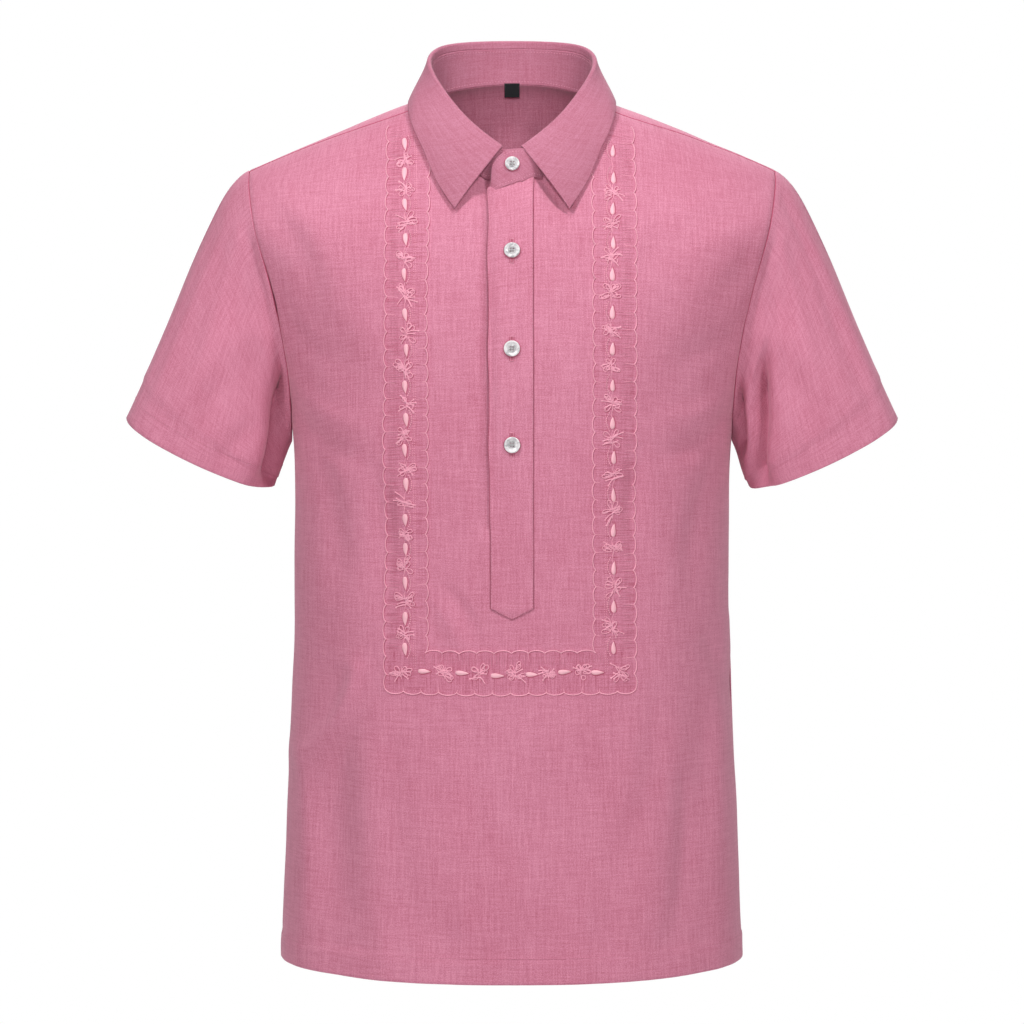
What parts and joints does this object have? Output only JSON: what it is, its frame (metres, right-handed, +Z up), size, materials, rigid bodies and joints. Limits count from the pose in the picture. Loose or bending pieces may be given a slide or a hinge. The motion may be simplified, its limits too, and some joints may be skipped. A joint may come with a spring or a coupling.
{
  "type": "short-sleeved barong tagalog shirt",
  "caption": "Short-sleeved barong tagalog shirt in pink slub cloth with a pointed collar, a half-length button placket and a scalloped embroidered U on the front.",
  "frame": {"origin": "in the middle of the neck opening, level with the shoulder at the neck, where the wearer's neck and shoulders hold the shirt", "axes": "+X to the wearer's left, -Y to the front, +Z up"},
  "size_m": [0.681, 0.2777, 0.8118],
  "materials": {
    "cloth": "matt plain weave with slubs",
    "collar_cloth": "matt plain weave with slubs, two layers, topstitched",
    "embroidery": "soft sheen of embroidery thread",
    "button_pearl": "pale pearly gloss",
    "label_satin": "black satin weave"
  },
  "bodies": {
    "root": {"front": "cloth", "back": "cloth", "yoke": "cloth", "sleeve_left": "cloth", "sleeve_right": "cloth", "collar_stand": "collar_cloth", "collar_leaf": "collar_cloth", "placket_over": "collar_cloth", "placket_under": "collar_cloth", "button_upper": "button_pearl", "button_middle": "button_pearl", "button_lower": "button_pearl", "button_collar": "button_pearl", "neck_label": "label_satin", "embroidery_left": "embroidery", "embroidery_right": "embroidery", "embroidery_bottom": "embroidery"}
  },
  "joints": []
}
